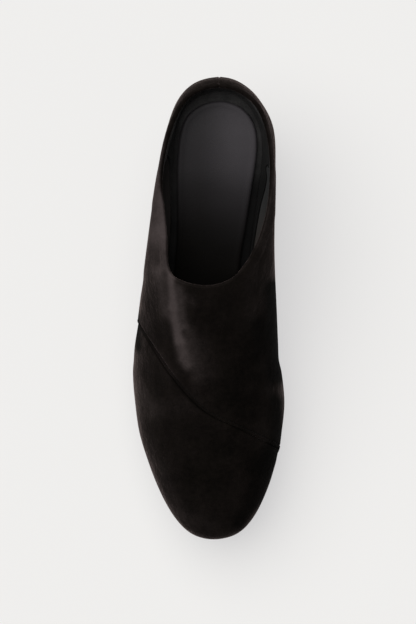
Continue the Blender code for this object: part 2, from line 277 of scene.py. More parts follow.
def upwards(turn, level):
    above = lastPoint(turn, np.minimum(level + smallStep, 2.0))
    return unit(above - lastPoint(turn, level - 2.0 * smallStep))


def outwards(turn, level):
    level = np.asarray(level, float)
    along = lastPoint(turn + smallStep, level) - lastPoint(turn - smallStep, level)
    return unit(np.cross(along, upwards(turn, level)))


def onLast(turns, levels):      # places and the way out of them, columns by rows
    return lastPoint(turns[:, None], levels), outwards(turns[:, None], levels)


def bisect(isLow, low, high):   # where a test changes from true at low to false at high
    low, high = np.array(low, float), np.array(high, float)
    for _ in range(26):
        middle = 0.5 * (low + high)
        test = isLow(middle)
        low = np.where(test, middle, low)
        high = np.where(test, high, middle)
    return low


def beforeSeam(turn, over):
    point = topPoint(np.asarray(turn, float), np.asarray(over, float))
    return last["heelY"] - point[..., 1] > seamStation(point[..., 0])


seamCorner, vampStart = last["seamCorner"], last["vampStart"]
seamOuter = float(bisect(lambda t: ~beforeSeam(t, seamCorner), vampStart, math.pi))
seamInner = float(bisect(lambda t: beforeSeam(t, seamCorner), math.pi, fullTurn - vampStart))


def splitLevel(turn):           # the seam on the vamp, and part way up the rear walls
    turn = np.mod(turn, fullTurn)
    onVamp = (turn > seamOuter) & (turn < seamInner)
    crossed = bisect(lambda over: beforeSeam(turn, over), np.zeros(turn.shape), np.ones(turn.shape))
    behind = np.minimum(np.mod(seamOuter - turn, fullTurn), np.mod(turn - seamInner, fullTurn))
    rear = mix(last["seamCorner"], last["rearSplit"], smooth(behind))
    return 1.0 + np.where(onVamp, np.maximum(crossed, last["seamCorner"]), rear)


def columnSteps(turns, start):          # levels from start to the collar, and the way between them
    levels = mix(np.asarray(start, float)[:, None], 2.0, np.linspace(0.0, 1.0, 160))
    return levels, np.linalg.norm(np.diff(lastPoint(turns[:, None], levels), axis=1), axis=-1)


def climb(turns, start, lengths):       # levels reached after walking these lengths up each column
    levels, steps = columnSteps(turns, start)
    walked = np.concatenate([np.zeros((len(turns), 1)), steps.cumsum(axis=1)], axis=1)
    return np.array([np.interp(*column) for column in zip(lengths, walked, levels)])


def columnLength(turns, start):
    return columnSteps(turns, start)[1].sum(axis=1)


def makeSeamPath():             # up the inner end, across the vamp and down the outer end
    upright = np.linspace(-1.0, 1.0 + last["seamCorner"], 60)
    across = np.linspace(seamInner, seamOuter, 400)
    return np.concatenate([
        lastPoint(seamInner, upright),
        lastPoint(across, splitLevel(across)),
        lastPoint(seamOuter, upright[::-1]),
    ])


seamPath = makeSeamPath()


def pathDistance(points, path):
    flat = points.reshape(-1, path.shape[1])
    start, way = path[:-1], np.diff(path, axis=0)
    longSquare = np.maximum((way ** 2).sum(axis=1), 1e-9)
    nearest = np.empty(len(flat))
    for k in range(0, len(flat), 4000):
        part = flat[k:k + 4000, None, :] - start
        share = np.clip((part * way).sum(axis=2) / longSquare, 0.0, 1.0)
        nearest[k:k + 4000] = np.linalg.norm(part - share[..., None] * way, axis=2).min(axis=1)
    return nearest.reshape(points.shape[:-1])


def seamDistance(points):
    return pathDistance(points, seamPath)


print("last ready")


def newObject(name, data):
    thing = bpy.data.objects.new(name, data)
    bpy.context.scene.collection.objects.link(thing)
    return thing


def makeObject(name, points, faces, finish, sharpAngle=40.0):
    mesh = bpy.data.meshes.new(name)
    used = np.unique([corner for face in faces for corner in face])
    newIndex = np.full(len(points), -1)
    newIndex[used] = np.arange(len(used))
    scaled = np.asarray(points)[used] * mm
    mesh.from_pydata(scaled.tolist(), [], [[int(newIndex[corner]) for corner in face] for face in faces])
    mesh.validate()
    mesh.update()
    mesh.shade_smooth()
    mesh.set_sharp_from_angle(angle=math.radians(sharpAngle))
    mesh.materials.append(finish)
    return newObject(name, mesh), used


def shell(name, outer, inner, finish, cells=None, ring=True, sharpAngle=40.0):
    # two grids, columns by rows, joined all along the border of the cells that are kept
    columns, rows = outer.shape[:2]
    count = columns * rows
    spans = columns if ring else columns - 1
    if cells is None:
        cells = np.ones((spans, rows - 1), bool)
    kept = np.pad(cells, 1)
    if ring:
        kept[0], kept[-1] = kept[-2], kept[1]
    faces = []
    for c in range(spans):
        here, there = c * rows, (c + 1) % columns * rows
        for r in np.flatnonzero(cells[c]):
            face = (here + r, there + r, there + r + 1, here + r + 1)
            faces.append(face)
            faces.append(tuple(count + corner for corner in reversed(face)))
            joined = (kept[c + 1, r], kept[c + 2, r + 1], kept[c + 1, r + 2], kept[c, r + 1])
            edges = zip(face, face[1:] + face[:1], joined)
            faces += [(b, a, count + a, count + b) for a, b, shared in edges if not shared]
    points = np.concatenate([outer.reshape(-1, 3), inner.reshape(-1, 3)])
    return makeObject(name, points, faces, finish, sharpAngle)


def stack(name, loops, finish, sharpAngle=40.0):
    # closed loops from the lowest up, capped by strips from side to side
    count = len(loops[0])
    faces = []
    for level in range(len(loops) - 1):
        low, high = level * count, (level + 1) * count
        for k in range(count):
            following = (k + 1) % count
            faces.append((low + k, high + k, high + following, low + following))
    top = (len(loops) - 1) * count
    for k in range(count // 2 - 1):
        rung = (k, k + 1, count - 2 - k, count - 1 - k)
        faces.append(rung)
        faces.append(tuple(top + corner for corner in reversed(rung)))
    faces = [tuple(reversed(face)) for face in faces]
    return makeObject(name, np.concatenate(loops), faces, finish, sharpAngle)[0]


def addField(thing, name, values):      # one number for each point, for the material to read
    field = thing.data.attributes.new(name, "FLOAT", "POINT")
    field.data.foreach_set("value", np.asarray(values, np.float32))


def addGrid(thing, name, grid, used):   # the same for both faces of a shell
    addField(thing, name, np.tile(grid.reshape(-1), 2)[used])


def addPaintedShade(thing, outerRows, innerRows):      # painted light and painted shade on a lining, by the turn and the side
    places = np.array([v.co for v in thing.data.vertices]) / mm
    turn = stationTurn(last["heelY"] - places[:, 1], 0.0, last["length"])
    side = smooth((places[:, 0] + 6.0) / 26.0)
    addField(thing, "depth", mix(levelCurve(outerRows)(turn), levelCurve(innerRows)(turn), side))


def finishPiece(thing, node):
    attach(thing, "root")
    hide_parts(node)
    print(thing.name, len(thing.data.polygons), "faces")


def addNode(tree, kind, settings, sockets):     # its settings first, then the values or links it takes
    node = tree.nodes.new(kind)
    for key, value in settings.items():
        setattr(node, key, value)
    for key, value in sockets.items():
        if isinstance(value, bpy.types.NodeSocket):
            tree.links.new(value, node.inputs[key])
        else:
            node.inputs[key].default_value = value
    return node.outputs


class Wire:                     # a socket whose arithmetic adds Math nodes
    def __init__(self, finish, socket):
        self.finish = finish
        self.socket = socket

    def maths(self, operation, *values):
        return self.finish.node("ShaderNodeMath", {"operation": operation}, dict(enumerate(values)))

    __add__ = __radd__ = lambda self, other: self.maths("ADD", self, other)
    __mul__ = __rmul__ = lambda self, other: self.maths("MULTIPLY", self, other)
    __sub__ = lambda self, other: self.maths("SUBTRACT", self, other)
    __rsub__ = lambda self, other: self.maths("SUBTRACT", other, self)

    def between(self, low, high):       # 0 below low, 1 above high, soft in between
        sockets = {"Value": self, "From Min": low, "From Max": high}
        return self.finish.node("ShaderNodeMapRange", {"interpolation_type": "SMOOTHSTEP"}, sockets)


class Finish:
    def __init__(self, name):
        self.material = bpy.data.materials.new(name)
        self.material.use_nodes = True
        self.tree = self.material.node_tree
        self.tree.nodes.clear()

    def node(self, kind, settings=None, sockets=None, output=0):
        sockets = {key: getattr(value, "socket", value) for key, value in (sockets or {}).items()}
        outputs = addNode(self.tree, kind, settings or {}, sockets)
        return Wire(self, outputs[output]) if outputs else None

    def place(self, scale=(1.0, 1.0, 1.0)):     # where a point is on the shoe, in metres times scale
        coordinates = self.node("ShaderNodeTexCoord", output="Object")
        return self.node("ShaderNodeMapping", None, {"Vector": coordinates, "Scale": scale})

    def noise(self, scale, detail=2.0, roughness=0.5, stretch=(1.0, 1.0, 1.0)):
        sockets = {"Scale": scale, "Detail": detail, "Roughness": roughness}
        return self.node("ShaderNodeTexNoise", None, {"Vector": self.place(stretch), **sockets})

    def cells(self, scale, feature="F1"):
        sockets = {"Vector": self.place(), "Scale": scale}
        return self.node("ShaderNodeTexVoronoi", {"feature": feature}, sockets)

    def field(self, name):
        return self.node("ShaderNodeAttribute", {"attribute_name": name}, output="Fac")

    def blend(self, share, colourA, colourB):
        settings = {"data_type": "RGBA"}
        return self.node("ShaderNodeMix", settings, {0: share, 6: colourA, 7: colourB}, output=2)

    def raised(self, height, strength, distance, below=None):
        sockets = {"Height": height, "Strength": strength, "Distance": distance}
        if below is not None:
            sockets["Normal"] = below
        return self.node("ShaderNodeBump", None, sockets)

    def surface(self, **sockets):
        sockets = {name.replace("_", " "): value for name, value in sockets.items()}
        return self.node("ShaderNodeBsdfPrincipled", None, sockets)

    def close(self, shader):
        self.node("ShaderNodeOutputMaterial", None, {"Surface": shader})
        return self.material

    def coat(self, **sockets):
        return self.close(self.surface(**sockets))


def grey(value, warmth=0.0):
    return (value * (1.0 + warmth), value, value * (1.0 - 0.5 * warmth), 1.0)


velvetLook = {
    "clouds": 34.0,             # scales of its unevenness, from the broadest to the finest
    "streaks": 60.0,
    "patches": 110.0,
    "tufts": 320.0,
    "pile": 900.0,
    "grain": 2600.0,
    # pile colours: the darkest also serves as painted shade, the lightest as painted light
    "deep": (0.0013, 0.0010, 0.0007, 1.0),
    "brushed": (0.0099, 0.0073, 0.0061, 1.0),
    "strokedAndPaintedLight": (0.0595, 0.0476, 0.0466, 1.0),
    "sheen": 0.50,
    "sheenRoughness": 0.35,
    "sheenFrom": 0.50,          # pile brushed flatter than this, and painted shade, has no sheen
    "sheenOver": 0.60,
    "sheenTint": (0.415, 0.322, 0.305, 1.0),
}


def makeVelvet():
    look = velvetLook
    finish = Finish("velvet")
    clouds = finish.noise(look["clouds"], 3.0, 0.55)
    patches = finish.noise(look["patches"], 3.0, 0.6)
    streaks = finish.noise(look["streaks"], 3.0, 0.6, (2.6, 0.8, 2.6))
    tufts = finish.noise(look["tufts"], 3.0, 0.6)
    pile = finish.noise(look["pile"], 2.0, 0.7)
    grain = finish.noise(look["grain"], 1.0)
    # nap: pile direction, with painted light above 0 and painted shade below 0
    nap = finish.field("nap")
    mottle = 0.35 * clouds + 0.35 * patches + 0.30 * streaks
    flecks = 0.45 * (tufts - 0.5) + 0.22 * (pile - 0.5)
    brushed = (mottle + flecks + 0.30 * nap).between(0.08, 1.02)
    strokedAndPaintedLight = nap * (0.55 + 0.60 * tufts + 0.30 * pile) + 0.30 * (mottle - 0.5) + 0.22 * (pile - 0.5)
    strokedAndPaintedLight = strokedAndPaintedLight.between(-0.05, 1.60)
    colour = finish.blend(brushed * (0.72 + 0.28 * grain), look["deep"], look["brushed"])
    colour = finish.blend(strokedAndPaintedLight * (0.78 + 0.22 * grain), colour, look["strokedAndPaintedLight"])
    leaning = finish.raised(clouds + 0.6 * patches + 0.4 * streaks, 0.35, 0.004)
    fibres = finish.raised(pile + 0.6 * grain, 0.55, 0.00035, leaning)
    common = {"Base_Color": colour, "Roughness": 0.92, "Specular_IOR_Level": 0.04, "Normal": fibres}
    flatPileAndPaintedShade = finish.surface(**common)
    standing = finish.surface(
        Sheen_Weight=look["sheen"], Sheen_Roughness=look["sheenRoughness"],
        Sheen_Tint=look["sheenTint"], **common)
    share = (nap + look["sheenFrom"]).between(0.0, look["sheenOver"])
    return finish.close(finish.node("ShaderNodeMixShader", None, {0: share, 1: flatPileAndPaintedShade, 2: standing}))


def paintedShadeInside(finish, colour, paintedShadeColour):     # painted shade: linings darker towards the toe and on their shaded side
    return finish.blend(finish.field("depth"), colour, paintedShadeColour)


def makeSuede():
    finish = Finish("suede")
    patches = finish.noise(70.0, 3.0, 0.6)
    nap = finish.noise(1400.0, 3.0, 0.7)
    worn = (0.6 * patches + 0.4 * nap).between(0.32, 0.68)
    colour = finish.blend(worn, grey(0.0250, 0.02), grey(0.0560, 0.03))
    # painted shade: darker towards the toe and on the shaded sides
    colour = paintedShadeInside(finish, colour, grey(0.0018, 0.05))
    relief = finish.raised(nap + 0.4 * patches, 0.6, 0.0004)
    return finish.coat(
        Base_Color=colour, Roughness=0.93, Specular_IOR_Level=0.06, Normal=relief,
        Sheen_Weight=0.06, Sheen_Roughness=0.5, Sheen_Tint=(0.40, 0.40, 0.39, 1.0))


def makeLeather(name, deep, light, paintedShadeColour, gloss, grainSize):
    finish = Finish(name)
    pebbles = finish.cells(grainSize)
    cracks = finish.cells(grainSize, "DISTANCE_TO_EDGE")
    fine = finish.noise(grainSize * 3.0, 2.0, 0.6)
    clouds = finish.noise(26.0, 3.0, 0.5)
    colour = finish.blend((0.7 * clouds + 0.3 * fine).between(0.3, 0.7), deep, light)
    colour = paintedShadeInside(finish, colour, paintedShadeColour)
    roughness = gloss + 0.16 * clouds + 0.10 * fine
    relief = finish.raised(cracks.between(0.0, 0.25) + 0.35 * pebbles + 0.25 * fine, 0.30, 0.00012)
    return finish.coat(Base_Color=colour, Roughness=roughness, Specular_IOR_Level=0.15, Normal=relief)


def makeRubber():
    finish = Finish("rubber")
    fine = finish.noise(1500.0, 2.0)
    dust = finish.noise(90.0, 4.0, 0.65)
    colour = finish.blend(dust.between(0.45, 0.75), grey(0.0085), grey(0.018, 0.03))
    relief = finish.raised(fine, 0.25, 0.00015)
    return finish.coat(Base_Color=colour, Roughness=0.52 + 0.2 * dust, Normal=relief)


def makeThread():
    finish = Finish("thread")
    twist = finish.noise(2200.0, 1.0)
    colour = finish.blend(twist, grey(0.0008), grey(0.0028, 0.05))
    relief = finish.raised(twist, 0.4, 0.0002)
    return finish.coat(Base_Color=colour, Roughness=0.8, Specular_IOR_Level=0.10, Normal=relief)


velvet = makeVelvet()
suede = makeSuede()
# the last colour is painted shade, brown with a painted reflection of the velvet
liningLeather = makeLeather(
    "lining leather", grey(0.0220, -0.01), grey(0.0340, -0.01),
    (0.0240, 0.0180, 0.0145, 1.0), 0.40, 900.0)
# the last colour is painted shade, towards the toe and on the outer side
sockLeather = makeLeather(
    "sock leather", (0.0440, 0.0396, 0.0437, 1.0), (0.0560, 0.0507, 0.0560, 1.0),
    (0.0022, 0.0017, 0.0012, 1.0), 0.42, 1100.0)
rubber = makeRubber()
thread = makeThread()
print("finishes ready")


creases = [     # troughs (below 0) and ridges: x, station at both ends, half width, height
    (25.5, 108, 30, 158, 4.6, -0.55),
    (19, 112, 22, 150, 3.6, 0.25),
    (-35, 112, -30.5, 134, 2.6, -0.32),
    (-30, 116, -23, 149, 3, -0.38),
    (-25.5, 121, -17, 152, 3.4, 0.22),
    (-33, 164, -20, 180, 4.2, -0.30),
    (-37, 176, -25, 188, 5, 0.25),
    (8, 176, 26, 186, 4.8, -0.28),
    (-12, 198, 16, 206, 6, -0.30),
    (26, 206, 33, 224, 4, -0.26),
]


napAndPaintedLightStrokes = [  # where the pile is stroked light (above 0) or dark, with painted light and painted shade on the velvet, in the same columns
    # the outer quarter, lit by painted light, and a painted sheen on the topline on the inner side
    (-24, 40, -25, 84, 8, 0.90),
    (-28, 90, -28.5, 104, 8, 0.50),
    (-22.5, 66, -21.5, 104, 3, 0.50),
    (36, 22, 40, 44, 5, 0.45),
    (36.5, 52, 32, 92, 5, 0.30),
    # the light ridge from the throat towards the toe: lighter pile and a painted highlight
    (-18.5, 107, -17.5, 126, 2.2, 1.25),
    (-17.5, 128, -15, 146, 2.4, 1.10),
    (-13.5, 148, -11, 161, 3.2, 0.80),
    (-25, 108, -21.5, 131, 3.6, 0.58),
    (-14, 117, -12, 138, 2.8, 0.65),
    (-9.5, 122, -7, 125, 3, 0.30),
    (-18, 134, -14.5, 158, 2.5, 0.35),
    (-9, 142, -5, 168, 4.5, 0.40),
    (-2, 148, 3, 166, 5, 0.20),
    (-26, 156, -20, 167, 4, 0.20),
    # soft painted light on the toe panel
    (-38, 175, -31.5, 190, 5.5, 0.27),
    (-25, 187, -9, 182, 7, 0.17),
    (-27, 222, -15, 248, 4, 0.20),
    (-12, 252, 2, 256, 4.5, 0.20),
    # painted shade and flat, dark pile: the inner side of the vamp and toe, and the toe's middle
    (-39, 134, -39, 152, 3, -0.45),
    (37, 118, 38, 168, 6, -0.70),
    (5, 132, 13, 150, 6, -0.20),
    (29, 140, 21, 164, 6.5, -0.65),
    (30, 170, 26, 188, 6, -0.25),
    (14, 178, 20, 192, 7, -0.48),
    (37, 184, 38, 214, 4.5, -0.60),
    (34, 216, 27, 238, 5, -0.65),
    (16, 206, 26, 220, 9, -0.50),
    (0, 207, 10, 211, 7, -0.30),
    (-8, 227, 6, 228, 9, -0.50),
    (24, 244, 17, 254, 4, -0.50),
]


def strokes(rows, points):
    x, station = points[..., 0], last["heelY"] - points[..., 1]
    total = np.zeros(x.shape)
    for startX, startStation, endX, endStation, width, height in rows:
        wayX, wayStation = endX - startX, endStation - startStation
        share = (x - startX) * wayX + (station - startStation) * wayStation
        share = np.clip(share / (wayX ** 2 + wayStation ** 2), 0.0, 1.0)
        away = np.hypot(x - startX - share * wayX, station - startStation - share * wayStation)
        total += height * bump(away, width)
    return total


panel = {
    "columnsRear": 250,
    "columnsFront": 190,
    "columnsUnder": 20,         # of the toe panel, behind the seam
    "crownRows": 54,
    "crownCrowd": 1.6,          # brings the crown's rows together towards the seam
    "lipLevels": (-1.0, -0.6, -0.25, 0.0),
    "wallRows": 14,             # from the lip up to the widest line
    "rowsToSplit": (0.33, 0.67),
    "nearRows": (0.0, 0.10, 0.25, 0.45, 0.7, 1.0, 1.35, 1.65, 1.9, 2.15, 2.5, 3.0, 3.8, 5.0, 6.5),
    "nearShare": 0.45,          # most of a column that these may take
    "farRows": 30,
    "backColumns": (0.0, 0.15, 0.3, 0.5, 0.8, 1.2, 1.8),    # distances from the centre-back seam
    "backRadius": 25.2,
    "rollRadius": 1.35,
    "rollRows": 9,
    "turnIn": 5.0,
    "foldRadius": 0.85,
    "foldDrop": 0.85,
    "foldBulge": (0.12, 1.05, 0.45),
    "stitchGroove": (-0.50, 1.9, 0.36),
    "edgeGroove": (-0.75, 0.0, 0.6),        # of the toe panel, just ahead of the fold
    "backGroove": (-0.40, 0.0, 0.28),
    "backRidge": (0.12, 0.9, 0.4),
    "creaseFade": 12.0,         # creases die out this near the topline
    "rearTuck": 0.7,            # how far the lowest edge draws in
    "toeTuck": 0.5,
    "hemWidth": 6.5,            # the folded topline is a little thicker than the wall below it
    "hemStep": 0.28,
    "hemEase": 1.6,
    "underlap": 5.0,
    "underlapRows": (0.2, 0.4, 0.7, 1.1, 1.8, 3.0, 5.0),
    "underlapFace": 1.95,
    "notch": (0.55, 0.0, 0.5),  # of the topline, at the centre-back seam
    "sheet": 0.9,
    "rollNap": 0.12,
    "turnedInShade": -0.20,         # painted shade: darker inside the topline than outside
    "rollShare": 0.5,
    "seamPaintedShades": (0.05, 0.7),  # painted shade by the seam, on the inner and the outer side, and where they change
    "shadeFrom": 16.0,
    "shadeFade": 24.0,
    "shadeWidths": (1.0, 0.9),  # on the rear panel and on the toe panel
}


def crowdedTurns(start, end, count):    # close together within a few millimetres of both ends
    near = np.array(panel["nearRows"][:-1]) / (0.5 * last["length"])
    inside = np.linspace(start + near[-1], end - near[-1], count)[1:-1]
    return np.concatenate([start + near, inside, end - near[::-1]])


def backSeam(turns, points):            # distance from the centre-back seam, large away from the heel
    away = np.abs(points[..., 0] - lastPoint(0.0, 1.5)[0])
    return np.where(np.cos(turns)[:, None] > 0.9, away, 99.0)


def lowerWall(count):           # levels from the lip up to the widest line, for each column
    levels = np.concatenate([panel["lipLevels"], np.linspace(0.0, 1.0, panel["wallRows"])[1:]])
    return np.tile(levels, (count, 1))


def seamPaintedShade(points, fromSeam, width):     # painted shade in the seam's groove, with the pile pressed flat along it; less on the inner side
    outer = smooth((panel["shadeFrom"] - points[..., 0]) / panel["shadeFade"])
    return bump(fromSeam, width) * mix(*panel["seamPaintedShades"], outer)


def makeRearPanel():
    nearBack = np.array(panel["backColumns"]) / panel["backRadius"]
    rearTurns = crowdedTurns(seamInner, seamOuter + fullTurn, panel["columnsRear"])
    rearTurns = rearTurns[np.abs(rearTurns - fullTurn) > nearBack[-1] + 0.01]
    rearTurns = np.sort(np.concatenate([rearTurns, fullTurn + nearBack, fullTurn - nearBack[1:]]))
    frontTurns = crowdedTurns(seamOuter, seamInner, panel["columnsFront"])[1:-1]
    turns = np.concatenate([rearTurns, frontTurns + fullTurn])
    split = splitLevel(turns)
    roll = panel["rollRadius"]

    # lower rows, of the rear columns alone
    lower = lowerWall(len(turns))
    between = mix(1.0, split[:, None], np.array(panel["rowsToSplit"]))
    # upper rows, as distances above the split
    reach = columnLength(turns, split) - roll
    squeeze = np.minimum(1.0, panel["nearShare"] * reach / panel["nearRows"][-1])
    near = np.array(panel["nearRows"]) * squeeze[:, None]
    far = mix(near[:, -1:], reach[:, None], np.linspace(0.0, 1.0, panel["farRows"] + 1)[1:])
    upper = climb(turns, split, np.concatenate([near, far], axis=1))
    levels = np.concatenate([lower, between, upper], axis=1)
    firstUpper = lower.shape[1] + between.shape[1]

    base, out = onLast(turns, levels)
    fromSeam = seamDistance(base)
    top = lastPoint(turns, 2.0)
    fromTop = np.linalg.norm(base - top[:, None], axis=-1)
    fromBack = backSeam(turns, base)

    lift = last["rearWall"] + strokes(creases, base) * smooth(fromTop / panel["creaseFade"])
    lift -= panel["foldDrop"] * quarterRound(fromSeam, panel["foldRadius"])
    lift += ridge(fromSeam, panel["foldBulge"]) + ridge(fromSeam, panel["stitchGroove"])
    lift += panel["hemStep"] * (smooth((panel["hemWidth"] - fromTop) / panel["hemEase"] + 0.5) - 1.0)
    lift += ridge(fromBack, panel["backGroove"]) + ridge(fromBack, panel["backRidge"])
    lift -= panel["rearTuck"] * np.clip(-levels, 0.0, 1.0) ** 2
    outer = base + out * lift[..., None]
    inner = base + out * (last["rearWall"] - panel["sheet"])

    # the roll over the topline and the turned-in edge, square to the wall
    centre = last["rearWall"] - roll
    up, side = upwards(turns, 2.0), outwards(turns, 2.0)
    notch = ridge(backSeam(turns, top[:, None])[:, 0], panel["notch"])
    rolledOut, rolledIn = [], []
    for angle in np.linspace(0.0, math.pi, panel["rollRows"])[1:]:
        for loops, radius in ((rolledOut, roll), (rolledIn, roll - panel["sheet"])):
            height = -roll + radius * math.sin(angle) - notch
            loops.append(top + up * height[:, None] + side * (centre + radius * math.cos(angle)))
    for down in np.linspace(0.0, panel["turnIn"], 5)[1:]:
        level = climb(turns, split, np.maximum(reach - down, 0.1)[:, None])[:, 0]
        place, away = lastPoint(turns, level), outwards(turns, level)
        rolledOut.append(place + away * (centre - roll))
        rolledIn.append(place + away * (centre - roll + panel["sheet"]))
    outer = np.concatenate([outer, np.stack(rolledOut, axis=1)], axis=1)
    inner = np.concatenate([inner, np.stack(rolledIn, axis=1)], axis=1)

    cells = np.ones((len(turns), outer.shape[1] - 1), bool)
    cells[len(rearTurns) - 1:, :firstUpper] = False
    thing, used = shell("rearPanel", outer, inner, velvet, cells)
    # the nap: pile direction with painted light and painted shade, less the seam's painted shade
    nap = strokes(napAndPaintedLightStrokes, base) - seamPaintedShade(base, fromSeam, panel["shadeWidths"][0])
    # over the roll the wall's nap gives way to the roll's own nap, and to painted shade on the turned-in
    # side
    turned = smooth(np.linspace(0.0, 1.0, len(rolledOut))[None, :] / panel["rollShare"])
    rolled = nap[:, -1:] * (1.0 - turned) + mix(panel["rollNap"], panel["turnedInShade"], turned)
    addGrid(thing, "nap", np.concatenate([nap, rolled], axis=1), used)
    finishPiece(thing, "upper")


def makeToePanel():
    under = panel["underlap"] / (0.5 * last["length"])
    count = panel["columnsFront"] + panel["columnsUnder"]
    turns = np.linspace(seamOuter - under, seamInner + under, count)
    split = splitLevel(turns)
    split[(turns < seamOuter) | (turns > seamInner)] = 1.0 + last["seamCorner"]
    fromSplit = 1.0 - np.linspace(0.0, 1.0, panel["crownRows"])[1:]
    crown = mix(1.0, split[:, None], 1.0 - fromSplit ** panel["crownCrowd"])
    past = climb(turns, split, np.tile(panel["underlapRows"], (count, 1)))
    levels = np.concatenate([lowerWall(count), crown, past], axis=1)
    base, out = onLast(turns, levels)
    fromSeam = seamDistance(base)
    hidden = np.zeros(base.shape[:2], bool)
    hidden[:, -len(panel["underlapRows"]):] = True
    hidden[(turns < seamOuter) | (turns > seamInner)] = True
    lift = last["toeWall"] + strokes(creases, base) + ridge(fromSeam, panel["edgeGroove"])
    lift -= panel["toeTuck"] * np.clip(-levels, 0.0, 1.0) ** 2
    lift = np.where(hidden, np.minimum(lift, panel["underlapFace"]), lift)
    outer = base + out * lift[..., None]
    inner = base + out * (last["toeWall"] - panel["sheet"])
    thing, used = shell("toePanel", outer, inner, velvet, ring=False)
    # the nap: pile direction with painted light and painted shade, less the seam's painted shade
    nap = strokes(napAndPaintedLightStrokes, base) - seamPaintedShade(base, fromSeam, panel["shadeWidths"][1])
    addGrid(thing, "nap", nap, used)
    finishPiece(thing, "upper")


makeRearPanel()
makeToePanel()


lining = {
    "columns": 300,
    "edgeDrop": 2.4,            # of its top edge below the collar
    "back": 0.22,
    "face": -0.20,
    "edgeWidth": 0.4,           # of the rounded top edge
    "edgeFall": 0.25,
    "stitchLine": (0.12, 1.3, 0.25),
    "rows": 40,
    "edgeRows": (0.97, 0.985, 0.995, 1.0),
    # painted shade by turn from the heel; on the inner side the lining is lightest near 0.9, a painted
    # highlight
    "outerPaintedShade": [(0, 0.5), (0.8, 0.40), (1.2, 0.5), (1.5, 1), (3.2, 1)],
    "innerPaintedShade": [(0, 0.3), (0.9, 0), (1.08, 0.1), (1.18, 0.45), (1.5, 1), (3.2, 1)],
}
grip = {
    "columns": 420,
    "outerEnd": 1.06,           # turn from the heel at which it stops, on either side
    "innerEnd": 1.42,
    "edgeDrop": 2.7,
    "back": -0.25,
    "face": -0.95,
    "edgeWidth": 0.6,
    "edgeFall": 0.5,
    "stitchLine": (0.15, 1.8, 0.3),
    "rows": 30,
    "edgeRows": (0.96, 0.975, 0.99, 1.0),
    "outerTop": [               # turn from the heel, height of its top edge up the wall
        (0, 40), (0.785, 40), (0.825, 5.2), (0.872, 3), (0.969, 1.4), (1.06, 0.8),
    ],
    "innerTop": [
        (0, 40), (0.835, 40), (0.870, 5.4), (0.936, 8), (0.981, 7.3), (1.021, 5.7),
        (1.061, 4.3), (1.146, 3.2), (1.25, 2.2), (1.42, 1.2),
    ],
    # painted light at the back, painted shade growing towards the sides and the toe
    "outerPaintedShade": [
        (0, 0), (0.39, 0.20), (0.55, 0.50), (0.66, 0.60), (0.9, 0.76), (1.06, 0.78), (3.2, 1),
    ],
    "innerPaintedShade": [
        (0, 0), (0.39, 0.25), (0.55, 0.45), (0.7, 0.68), (0.85, 0.86), (1, 0.98), (3.2, 1),
    ],
}


def wallLayer(name, look, turns, height, finish, ring=True):
    # a thin layer inside the wall, rounded at its top edge and sunk along a stitch line
    rows = np.linspace(0.0, 1.0, look["rows"]) * look["edgeRows"][0]
    lengths = height[:, None] * np.concatenate([rows, look["edgeRows"][1:]])
    levels = climb(turns, np.zeros(len(turns)), lengths)
    base, out = onLast(turns, levels)
    fromEdge = height[:, None] - lengths
    face = look["face"] + look["edgeFall"] * quarterRound(fromEdge, look["edgeWidth"])
    face += ridge(fromEdge, look["stitchLine"])
    thing = shell(name, base + out * look["back"], base + out * face[..., None], finish, ring=ring)[0]
    addPaintedShade(thing, look["outerPaintedShade"], look["innerPaintedShade"])
    finishPiece(thing, "upper")


def wallHeight(look, turns):
    return columnLength(turns, np.zeros(len(turns))) - look["edgeDrop"]


def makeLining():
    turns = np.linspace(0.0, fullTurn, lining["columns"], endpoint=False)
    wallLayer("quarterLining", lining, turns, wallHeight(lining, turns), liningLeather)


def makeHeelGrip():
    turns = np.linspace(-grip["innerEnd"], grip["outerEnd"], grip["columns"])
    outerTop, innerTop = levelCurve(grip["outerTop"]), levelCurve(grip["innerTop"])
    top = np.where(turns > 0.0, outerTop(turns), innerTop(-turns))
    height = np.minimum(top, wallHeight(grip, turns))
    wallLayer("heelGrip", grip, turns, height, suede, ring=False)


board = {
    "inset": 0.4,               # of its edge inside the last's
    "columns": 260,
    "across": 36,
    "base": 0.3,                # of its underside above the footbed
    "thickness": 2.5,
    "rounding": 0.9,
    "edgeShare": 0.25,          # of its thickness that is left at the edge
    # painted shade by turn, growing towards the sides and the toe
    "outerPaintedShade": [
        (0, 0), (0.39, 0.10), (0.66, 0.40), (0.8, 0.72), (0.9, 0.78), (1.3, 0.84), (3.2, 1),
    ],
    "innerPaintedShade": [
        (0, 0), (0.39, 0.10), (0.66, 0.35), (0.8, 0.42), (0.9, 0.72), (1, 0.93), (3.2, 1),
    ],
}
sock = {
    "columns": 300,
    "across": 60,
    "base": 3.1,
    "thickness": 2.0,
    "rounding": 1.3,
    "edgeShare": 0.25,
    "fill": 0.3,
    "rim": (0.25, 2.2, 1.4),    # foam that is fullest a little inside the edge
    "dishes": [                 # and pressed in under the heel and the ball: place, half sizes, depth
        (7.5, 38, 15, 24, 0.35), (0, 178, 24, 26, 0.30),
    ],
    # painted shade, darker on the outer side and towards the toe
    "outerPaintedShade": [
        (0, 0.48), (0.5, 0.60), (0.85, 0.70), (1.05, 0.86), (1.3, 0.98), (1.5, 1), (3.2, 1),
    ],
    "innerPaintedShade": [
        (0, 0), (0.5, 0.06), (0.85, 0.28), (1.05, 0.67), (1.3, 0.96), (1.5, 1), (3.2, 1),
    ],
}


